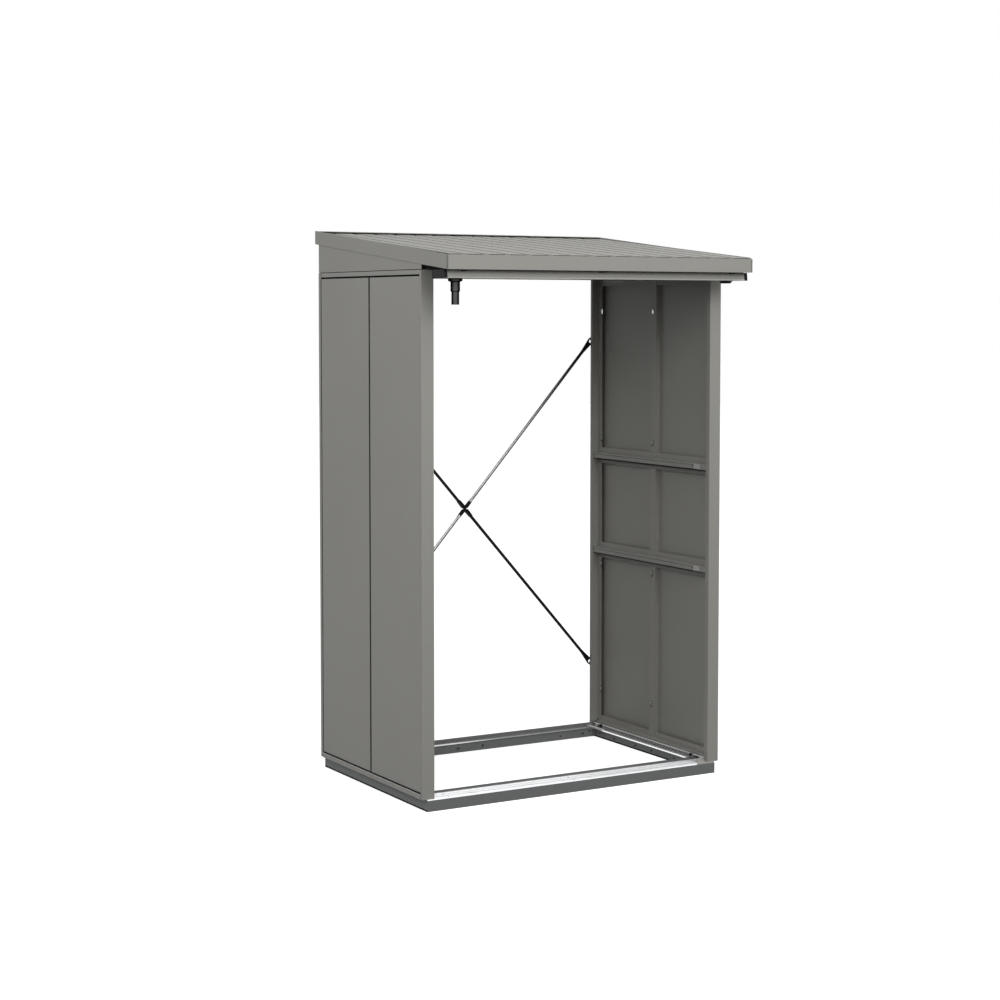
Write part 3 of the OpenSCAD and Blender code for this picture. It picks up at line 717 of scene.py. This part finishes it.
def add_clip(mesh, place):
    rings = []
    for size, height in CLIP_LEVELS:
        ring = pill(CLIP_W / 2 * size, CLIP_H / 2 - CLIP_W / 2 * (1 - size))
        rings.append([mesh.verts.new(place @ Vector((x, y, height))) for x, y in ring])
    for low, high in zip(rings, rings[1:]):
        for k in range(len(low)):
            n = (k + 1) % len(low)
            mesh.faces.new((low[k], low[n], high[n], high[k]))
    mesh.faces.new(rings[-1])
    mesh.faces.new(list(reversed(rings[0])))


panel_low, panel_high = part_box("right_back_panel")
studs = bmesh.new()
for side, label in SIDES:
    clips = bmesh.new()
    top_row_clips = bmesh.new()
    shadow_rims = bmesh.new()
    for z in CLIP_HEIGHTS:
        for y in CLIP_Y:
            place = at(side * (panel_low.x - 0.0001), y, z, INWARD[side])
            place = place @ Matrix.Rotation(math.pi / 2, 4, "Z")
            add_clip(top_row_clips if z == CLIP_HEIGHTS[-1] else clips, place)
            add_run(shadow_rims, pill(CLIP_W / 2 + RIM_W, CLIP_H / 2 + RIM_W), RIM_T, place)
            for mesh, rise in ((studs, STUD_RISE), (shadow_rims, STUD_DROP)):
                spot = at(side * (panel_low.x - 0.0015), y, z + rise, INWARD[side])
                add_turned(mesh, stud_outline, spot, STUD_SIDES)
    make_piece(label + "_panel_clips", clips, wall_paint, soften=0)
    make_piece(label + "_top_row_clips", top_row_clips, clip_metal, soften=0)
    make_piece(label + "_clip_shadow_rims", shadow_rims, black_foam, soften=0)
make_piece("clip_studs", studs, zinc, soften=0)
print("clips on each wall:", len(CLIP_Y) * len(CLIP_HEIGHTS))

# %% [markdown]
# In the rear corner of each wall a dark grey strip fills the tray beside the post, as painted
# shade for the deep slot there. A plain block does it, lying a hair inside the folded sheet
# and stopping short of the tray's ends.

# %% dark strips painted as shade in the rear corners
CORNER_SHADE_W = 0.0095
CORNER_SHADE_GAP = 0.0013                        # a little more than the sheet's thickness
CORNER_SHADE_SHORT = 0.018
for side, label in SIDES:
    shade_strips = bmesh.new()
    add_block(shade_strips, side, (panel_low.x + 2 * CORNER_SHADE_GAP, panel_high.x - CORNER_SHADE_GAP),
              (panel_high.y - CORNER_SHADE_GAP - CORNER_SHADE_W, panel_high.y - CORNER_SHADE_GAP),
              (panel_low.z + CORNER_SHADE_SHORT, panel_high.z - CORNER_SHADE_SHORT))
    make_piece(label + "_corner_shade_strip", shade_strips, grey_shadow_foam)
print("corner seals from x", round(panel_low.x + 2 * CORNER_SHADE_GAP, 4))

# %% [markdown]
# The shadow gaps outside, round the panels, are filled with dark foam as their painted shade.
# It lies deep in the gap over the panels and behind the seam between them. Beads come up to
# the face in the seam, beside the rear post, over the bottom rail and under the gable, and
# draw the fine dark lines of painted shadow that divide the wall.

# %% dark foam painted as shade in the shadow gaps
front_low, front_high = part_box("right_front_panel")
foot_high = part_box("right_bottom_rail")[1]
gable_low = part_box("right_gable")[0]
GAP_SHADE_T = 0.003
PROUD = 0.0004                           # how far a bead stands out of the face
SEAM_HALF = 0.0042                       # half the bead between the panels
deep = (panel_high.x - 0.008 - GAP_SHADE_T, panel_high.x - 0.008)
face = panel_high.x + PROUD
panel_rise = (panel_low.z, panel_high.z)
wall_run = (front_low.y, panel_high.y)
seam_y = (front_high.y + panel_low.y) / 2
gaps = (
    (deep, wall_run, (panel_high.z + 0.0003, panel_high.z + 0.0062)),
    (deep, (front_high.y + 0.0003, panel_low.y - 0.0003), panel_rise),
    ((panel_high.x - 0.0003, face), (seam_y - SEAM_HALF, seam_y + SEAM_HALF), panel_rise),
    ((face - 0.004, face), (panel_high.y - 0.0006, panel_high.y + 0.0042), panel_rise),
    ((foot_high.x - 0.002, foot_high.x + 0.0003), wall_run,
     (panel_low.z - 0.0044, panel_low.z + 0.0012)),
    ((0.612, 0.6157), (gable_low.y, panel_high.y), (gable_low.z, gable_low.z + 0.0024)))
for side, label in SIDES:
    gap_shades = bmesh.new()
    for x, y, z in gaps:
        add_block(gap_shades, side, x, y, z)
    make_piece(label + "_gap_shade_foam", gap_shades, black_foam, soften=0)
print("seam between the panels at y", round(seam_y, 4))

# %% [markdown]
# At the wall's foot the bottom rail has a paler raised band outside, under its bead, painted
# pale as a highlight along the rail's fold. Inside, a white strip stands on the liner in
# front of the rail's hem, painted white as the highlight on the hem's top.

# %% painted highlights at the wall's foot
STRIP_X = 0.5843                         # just in front of the rail's inner hem
STRIP_T = 0.001
STRIP_H = 0.0042
BAND_H = 0.0036
hem_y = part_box("back_right_post")[1].y - 0.0016
band_x = foot_high.x + 0.0005
band_z = panel_low.z - 0.0082
for side, label in SIDES:
    hem_highlight = bmesh.new()
    add_block(hem_highlight, side, (STRIP_X, STRIP_X + STRIP_T), (front_low.y + 0.03, hem_y),
              (liner_top, liner_top + STRIP_H))
    make_piece(label + "_foot_highlight_strip", hem_highlight, lip_highlight_paint)
    band_highlight = bmesh.new()
    add_block(band_highlight, side, (band_x - STRIP_T, band_x), (front_low.y, hem_y),
              (band_z, band_z + BAND_H))
    make_piece(label + "_foot_highlight_band", band_highlight, band_highlight_paint, soften=0.1)
print("foot strip at height", round(liner_top, 4), "band at", round(band_z, 4))

# %% [markdown]
# Each wall is stiffened by two folded rails. A rail ends at the front in a little folded cap
# with a raised tongue, painted lighter than the wall as a highlight. The cap is a shallow
# channel in section, run along the rail, and the tongue is a thin wedge in plan, run upwards.

# %% front ends of the wall rails
CAP_LEN = 0.094
CAP_HALF = 0.0112
CAP_DEPTH = 0.010
CAP_T = 0.001
CAP_PROUD = 0.0012                       # out of the rail's face
BAND_T = 0.0011
TONGUE_LEN = 0.031
TONGUE_H = 0.0164
TONGUE_FOOT = -0.0092                    # from the rail's middle
TONGUE_THICK = 0.006                     # at its rear end
TONGUE_THIN = 0.0005                     # at its front end
rails = []
for node in sorted(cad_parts):
    if node.endswith("stiffener"):
        low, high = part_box(node)
        face, back = sorted((abs(low.x), abs(high.x)))
        rails.append((1 if low.x > 0 else -1, face, back, low, high))
cap_outline = [(-CAP_HALF, CAP_DEPTH), (-CAP_HALF, -CAP_PROUD), (CAP_HALF, -CAP_PROUD),
               (CAP_HALF, CAP_DEPTH), (CAP_HALF - CAP_T, CAP_DEPTH), (CAP_HALF - CAP_T, 0.0),
               (-CAP_HALF + CAP_T, 0.0), (-CAP_HALF + CAP_T, CAP_DEPTH)]
caps = bmesh.new()
tongues = bmesh.new()
for side, face, back, low, high in rails:
    mid_z = (low.z + high.z) / 2
    turn = Matrix(((0, side, 0, side * face), (0, 0, 1, low.y + 0.002), (1, 0, 0, mid_z),
                   (0, 0, 0, 1)))        # depth goes outwards, the run goes back
    add_run(caps, cap_outline, CAP_LEN, turn)
    top = face - BAND_T
    tongue_y = low.y + CAP_LEN + 0.001
    wedge = ((top, tongue_y), (top - TONGUE_THICK, tongue_y),
             (top - TONGUE_THIN, tongue_y - TONGUE_LEN), (top, tongue_y - TONGUE_LEN))
    add_run(tongues, [(side * x, y) for x, y in wedge], TONGUE_H,
            at(0, 0, mid_z + TONGUE_FOOT))
make_piece("rail_end_caps", caps, wall_paint, soften=0.3)
make_piece("rail_end_tongues", tongues, tongue_highlight_paint, soften=0.3)
print("rails:", len(rails), "each with a cap of", CAP_LEN, "m")

# %% [markdown]
# Behind its cap a rail shows two flat bands along its face, with a fine groove between them.
# All three are long thin blocks, stacked by height; the groove's block is painted darker, as
# the shade in the groove.

# %% bands of the wall rails, and painted shade in their grooves
BAND_HEIGHTS = ((-0.0103, 0.002), (0.0052, 0.0103))    # from the rail's middle
GROOVE_HEIGHTS = (0.002, 0.0052)
GROOVE_T = 0.0002
bands = bmesh.new()
groove_shades = bmesh.new()
for side, face, back, low, high in rails:
    mid_z = (low.z + high.z) / 2
    run = (low.y + CAP_LEN + 0.003, high.y - 0.001)
    for z0, z1 in BAND_HEIGHTS:
        add_block(bands, side, (face - BAND_T, face), run, (mid_z + z0, mid_z + z1))
    add_block(groove_shades, side, (face - GROOVE_T, face), run,
              (mid_z + GROOVE_HEIGHTS[0], mid_z + GROOVE_HEIGHTS[1]))
make_piece("rail_bands", bands, wall_paint, soften=0.3)
make_piece("rail_groove_shades", groove_shades, base_paint, soften=0)
print("bands run from y", round(run[0], 3), "to", round(run[1], 3))

# %% [markdown]
# One dark screw fixes each rail just behind its cap. Under the rail's raised part a grey
# strip runs along as a painted shadow line, and a darker strip covers the flange below as the
# painted shadow that the rail casts. The screw is turned with a small dimple for the driver.

# %% screws and painted shadows of the wall rails
HAT_HALF = 0.0105                        # half the rail's raised part
FLANGE_T = 0.0012
SHADOW_LINE_H = 0.0085
SHADOW_LINE_T = 0.003
CAST_SHADOW_T = 0.0004
SCREW_SIDES = 16


def screw_outline(head_r, head_h):
    return [(0, 0), (head_r, 0), (head_r, head_h * 0.35), (head_r * 0.8, head_h * 0.8),
            (head_r * 0.35, head_h), (head_r * 0.3, head_h * 0.6), (0, head_h * 0.6)]


screws = bmesh.new()
rail_shadow_lines = bmesh.new()
rail_cast_shadows = bmesh.new()
for side, face, back, low, high in rails:
    mid_z = (low.z + high.z) / 2
    spot = at(side * (face - BAND_T), low.y + CAP_LEN + 0.0095, mid_z, INWARD[side])
    add_turned(screws, screw_outline(0.004, 0.002), spot, SCREW_SIDES)
    flange = back - FLANGE_T
    hat_z = mid_z - HAT_HALF
    run = (low.y + 0.002, high.y - 0.001)
    add_block(rail_shadow_lines, side, (flange - SHADOW_LINE_T, flange), run,
              (hat_z - SHADOW_LINE_H, hat_z - 0.0002))
    add_block(rail_cast_shadows, side, (flange - CAST_SHADOW_T, flange), run,
              (low.z + 0.0004, hat_z - SHADOW_LINE_H))
make_piece("rail_screws", screws, dark_steel, soften=0)
make_piece("rail_shadow_lines", rail_shadow_lines, grey_shadow_foam, soften=0.2)
make_piece("rail_cast_shadows", rail_cast_shadows, rail_shadow_paint, soften=0)
print("seal height under a rail:", SHADOW_LINE_H)

# %% [markdown]
# Pairs of small countersunk screws fasten the sill, and two fine ribs run along it.
# Each rib is a thin zinc strip laid on the sill, which is enough to give its glint.

# %% screws and ribs of the sill
SILL_SCREW_X = (-0.511, -0.004)
SILL_SCREW_Y = (-0.313, -0.273)
SILL_RIB_Y = (-0.302, -0.28)
RIB_W = 0.002
sill_low, sill_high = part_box("front_sill")
screws = bmesh.new()
for x in SILL_SCREW_X:
    for y in SILL_SCREW_Y:
        spot = at(x, y, sill_high.z - 0.0004)
        add_turned(screws, screw_outline(0.003, 0.0008), spot, SCREW_SIDES)
make_piece("sill_screws", screws, dark_steel, soften=0)
ribs = bmesh.new()
for y in SILL_RIB_Y:
    add_block(ribs, 1, (sill_low.x + 0.03, sill_high.x - 0.002), (y, y + RIB_W),
              (sill_high.z - 0.0001, sill_high.z + 0.0005))
make_piece("sill_ribs", ribs, zinc, soften=0)
print("sill top:", round(sill_high.z, 4))

# %% [markdown]
# Along each verge a dark bead lies on the edge of the roof sheet, as painted shade on the
# verge's inner face. It is a bar from a low front end to a high back one, because it has to
# follow the fall. A narrow darker seam shows where the verge meets the fascia.

# %% painted shade beads and seams on the verges
SHEET_FRONT_Z = 1.8838                   # the sheet's edge above the fascia
BEAD_X = (0.0086, 0.0026)                # from the verge's outer face
BEAD_H = 0.0024
SEAM_X = (-0.0002, 0.0004)
SEAM_W = 0.0045
verge_low, verge_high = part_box("right_verge")
sheet_low, sheet_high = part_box("roof_sheet")
bead_ends = ((sheet_low.y + 0.004, SHEET_FRONT_Z - 0.0006),
             (sheet_high.y - 0.018, sheet_high.z - 0.0022))
beads = bmesh.new()
seams = bmesh.new()
for side in (-1, 1):
    add_block(seams, side, (verge_high.x + SEAM_X[0], verge_high.x + SEAM_X[1]),
              (verge_low.y, verge_low.y + SEAM_W),
              (verge_low.z + 0.0008, verge_low.z + 0.0466))
    x0, x1 = (side * (verge_high.x - inset) for inset in BEAD_X)
    front, back = [[beads.verts.new(corner) for corner in (
        (x0, y, z), (x1, y, z), (x1, y, z + BEAD_H), (x0, y, z + BEAD_H))]
        for y, z in bead_ends]
    beads.faces.new(front)
    beads.faces.new(list(reversed(back)))
    for i in range(4):
        j = (i + 1) % 4
        beads.faces.new((front[i], back[i], back[j], front[j]))
make_piece("verge_shade_beads", beads, base_paint)
make_piece("verge_seams", seams, base_paint, soften=0)
print("sheet from", round(sheet_low.z, 4), "to", round(sheet_high.z, 4))

# %% [markdown]
# Black strips lie along the gutter's top edge, as the painted shadow under the fascia, and
# along the front header's foot, as its painted shade. The base stands on thin dark foot
# strips, with short dark strips at its rear corners and along the gutter caps' lower edges,
# all painted shadow lines, and the blank outlet has a flat plug. The foot strips are a
# fraction of a millimetre thick, and their work is to draw a crisp dark line of painted
# shadow. Along the gutter's lower edge runs a paler bead, a painted highlight.

# %% painted shadow lines of the gutter, the header and the base
OPENING_HALF = 0.568                     # half the clear width between the posts
THIN = 0.0004
EDGE_Z = 0.0002                          # how far the foot strips clear the ground
EDGE_H = 0.0055
CORNER_H = 0.042
CAP_EDGE_H = 0.003
BEAD_STANDS = 0.0008                     # out of the gutter's face
BEAD_HEIGHTS = (0.0004, 0.0046)
gutter_low, gutter_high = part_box("gutter")
header_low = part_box("front_header")[0]
gutter_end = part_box("gutter_right_cap")[1].x
blank_low, blank_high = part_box("gutter_blank_outlet")
blank_mid = (blank_low + blank_high) / 2
rail_x = base_right_high.x
base_run = (base_front_low.y + 0.001, base_back_high.y - 0.001)
shade_strips = bmesh.new()
add_block(shade_strips, 1, (gutter_low.x + 0.001, gutter_high.x - 0.001),
          (gutter_low.y + 0.004, gutter_low.y + 0.0095),
          (gutter_high.z, gutter_high.z + 0.0014))
add_block(shade_strips, 1, (-OPENING_HALF, OPENING_HALF), (header_low.y - 0.002, header_low.y),
          (header_low.z - 0.0295, header_low.z + 0.0015))
for side in (-1, 1):
    for x in ((rail_x, rail_x + THIN), (web_x - THIN, web_x)):
        add_block(shade_strips, side, x, base_run, (EDGE_Z, EDGE_Z + EDGE_H))
    add_block(shade_strips, side, (rail_x, rail_x + THIN), (base_run[1] - 0.004, base_run[1]),
              (EDGE_Z, EDGE_Z + CORNER_H))
    add_block(shade_strips, side, (gutter_end, gutter_end + THIN),
              (gutter_low.y + 0.001, gutter_high.y - 0.001),
              (gutter_low.z + EDGE_Z, gutter_low.z + EDGE_Z + CAP_EDGE_H))
add_turned(shade_strips, [(0, -0.0035), (0.0185, -0.0035), (0.0205, 0), (0, 0)],
           at(blank_mid.x - 0.002, blank_mid.y, blank_low.z), sides=32)
make_piece("edge_shadow_lines", shade_strips, black_foam, soften=0)
gutter_highlight_bead = bmesh.new()
add_block(gutter_highlight_bead, 1, (gutter_low.x, gutter_high.x),
          (gutter_low.y - BEAD_STANDS, gutter_low.y),
          (gutter_low.z + BEAD_HEIGHTS[0], gutter_low.z + BEAD_HEIGHTS[1]))
make_piece("gutter_highlight_bead", gutter_highlight_bead, pale_paint_and_highlight, soften=0.2)
print("gutter foot:", round(gutter_low.z, 4), "header foot:", round(header_low.z, 4))

# %% [markdown]
# Where the bright rods leave the black clip, each is swaged into a short flared end.
# It is turned about the rod's own line, from the crossing towards the rod's eye.

# %% flared ends of the bright rods
FLARE_FROM = 0.034                       # from the crossing
flare_outline = [(radius * MM, height * MM) for radius, height in
                 ((0, 0), (6.9, 0), (7.4, 1.5), (7.2, 5.0), (6.6, 9.0), (6.1, 13.0),
                  (0, 13.0))]
brace_low, brace_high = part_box("brace_centre")
brace_mid = (brace_low + brace_high) / 2
eyes = (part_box("brace_rod_lower_left")[0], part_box("brace_rod_upper_right")[1])
flares = bmesh.new()
for eye in eyes:
    arm = Vector((eye.x - brace_mid.x, 0, eye.z - brace_mid.z)).normalized()
    turn = arm.to_track_quat("Z", "Y").to_matrix().to_4x4()
    add_turned(flares, flare_outline, Matrix.Translation(brace_mid + arm * FLARE_FROM) @ turn)
make_piece("brace_flares", flares, zinc, soften=0)
print("brace crosses at height", round(brace_mid.z, 3))

# %% [markdown]
# The studio is one pale floor that the store stands on, and light from a large bright
# surrounding. The background must be white in the picture without flooding the paint
# with light. So the camera, mirrors and glass see a bright shader, and every other ray
# meets the floor and the sky at their plain level.

# %% two shaders, one to be seen and one to light with
def show(tree, surface, plain, bright):
    """The camera, mirrors and glass see the bright shader, all other rays the plain."""
    paths = tree.nodes.new("ShaderNodeLightPath")
    seen = maths(tree, "MAXIMUM", paths.outputs["Is Camera Ray"],
                 paths.outputs["Is Glossy Ray"])
    seen = maths(tree, "MAXIMUM", seen, paths.outputs["Is Transmission Ray"])
    either = tree.nodes.new("ShaderNodeMixShader")
    for socket, value in zip(either.inputs, (seen, plain.outputs[0], bright.outputs[0])):
        tree.links.new(value, socket)
    tree.links.new(either.outputs[0], surface.inputs[0])


print("rays that see the bright shader: camera, glossy, transmission")

# %% [markdown]
# The floor keeps the store's shadow, because its bright shader is part pale paint and
# part glow. The glow grows with the distance from the store, until the floor fades
# into the white behind it.

# %% floor
FLOOR_R = 30.0
FLOOR_Z = -0.0005                        # just under the feet
GLOW_NEAR = 0.74                         # within 1.5 m of the middle
GLOW_FAR = 0.96                          # from 6 m on
floor_mesh = bmesh.new()
bmesh.ops.create_circle(floor_mesh, cap_ends=True, segments=64, radius=FLOOR_R)
floor_data = bpy.data.meshes.new("floor")
floor_mesh.to_mesh(floor_data)
floor_mesh.free()
floor = bpy.data.objects.new("floor", floor_data)
floor.location.z = FLOOR_Z
scene.collection.objects.link(floor)
floor_paint = bpy.data.materials.new("floor_paint")
floor_paint.use_nodes = True
tree = floor_paint.node_tree
tree.nodes.clear()
matte = add_node(tree, "ShaderNodeBsdfDiffuse", _Color=(0.12, 0.12, 0.12, 1))
pale = add_node(tree, "ShaderNodeBsdfDiffuse", _Color=(0.8, 0.8, 0.8, 1))
away = vector_maths(tree, "LENGTH", add_node(tree, "ShaderNodeTexCoord").outputs["Object"])
fade = add_node(tree, "ShaderNodeMapRange", _From_Min=1.5, _From_Max=6.0,
                _To_Min=GLOW_NEAR, _To_Max=GLOW_FAR, _Value=away["Value"])
glow = add_node(tree, "ShaderNodeEmission", _Strength=1.0, _Color=fade.outputs["Result"])
both = tree.nodes.new("ShaderNodeAddShader")
tree.links.new(pale.outputs[0], both.inputs[0])
tree.links.new(glow.outputs[0], both.inputs[1])
show(tree, tree.nodes.new("ShaderNodeOutputMaterial"), matte, both)
floor_data.materials.append(floor_paint)
print("floor radius:", FLOOR_R)

# %% [markdown]
# The surroundings are even and without colour, like an overcast sky. They fill the
# shade softly, and the lamps do the rest.

# %% sky
SKY_STRENGTH = 0.19
world = bpy.data.worlds.new("studio")
scene.world = world
world.use_nodes = True
tree = world.node_tree
tree.nodes.clear()
sky = add_node(tree, "ShaderNodeBackground", _Color=(1, 1, 1, 1), _Strength=SKY_STRENGTH)
white = add_node(tree, "ShaderNodeBackground", _Color=(1, 1, 1, 1), _Strength=1.0)
show(tree, tree.nodes.new("ShaderNodeOutputWorld"), sky, white)
print("sky strength:", SKY_STRENGTH)

# %% [markdown]
# Two soft lamps stand in front, one of them high enough to light the roof as well. A
# third lights the side wall, a fourth the front corner between them, and the last
# reaches over the roof from the right into the shade of the back. Large square lamps
# are used, because small ones would cut hard shadows into the folds.

# %% lamps
def soft_lamp(name, location, target, size, watts):
    data = bpy.data.lights.new(name, "AREA")
    data.shape = "SQUARE"
    data.size = size
    data.energy = watts
    lamp = bpy.data.objects.new(name, data)
    lamp.location = location
    aim = Vector(target) - Vector(location)
    lamp.rotation_euler = aim.to_track_quat("-Z", "Y").to_euler()
    scene.collection.objects.link(lamp)


soft_lamp("high_front_lamp", (-0.9, -3.6, 4.5), (0, 0, 1.0), size=3.6, watts=77)
soft_lamp("near_front_lamp", (0.5, -4.0, 3.0), (0.3, 0, 1.0), size=1.5, watts=54)
soft_lamp("corner_lamp", (-4.0, -4.0, 3.0), (0, 0, 1.0), size=2.5, watts=73)
soft_lamp("side_lamp", (-4.6, 0.0, 3.9), (-0.6, 0, 1.3), size=2.5, watts=71)
soft_lamp("right_lamp", (4.0, -2.0, 5.0), (0, 0, 1.6), size=3.0, watts=124)

# %% [markdown]
# The view transform is Standard, so that colours come out as they were written.

# %% finish
scene.view_settings.view_transform = "Standard"
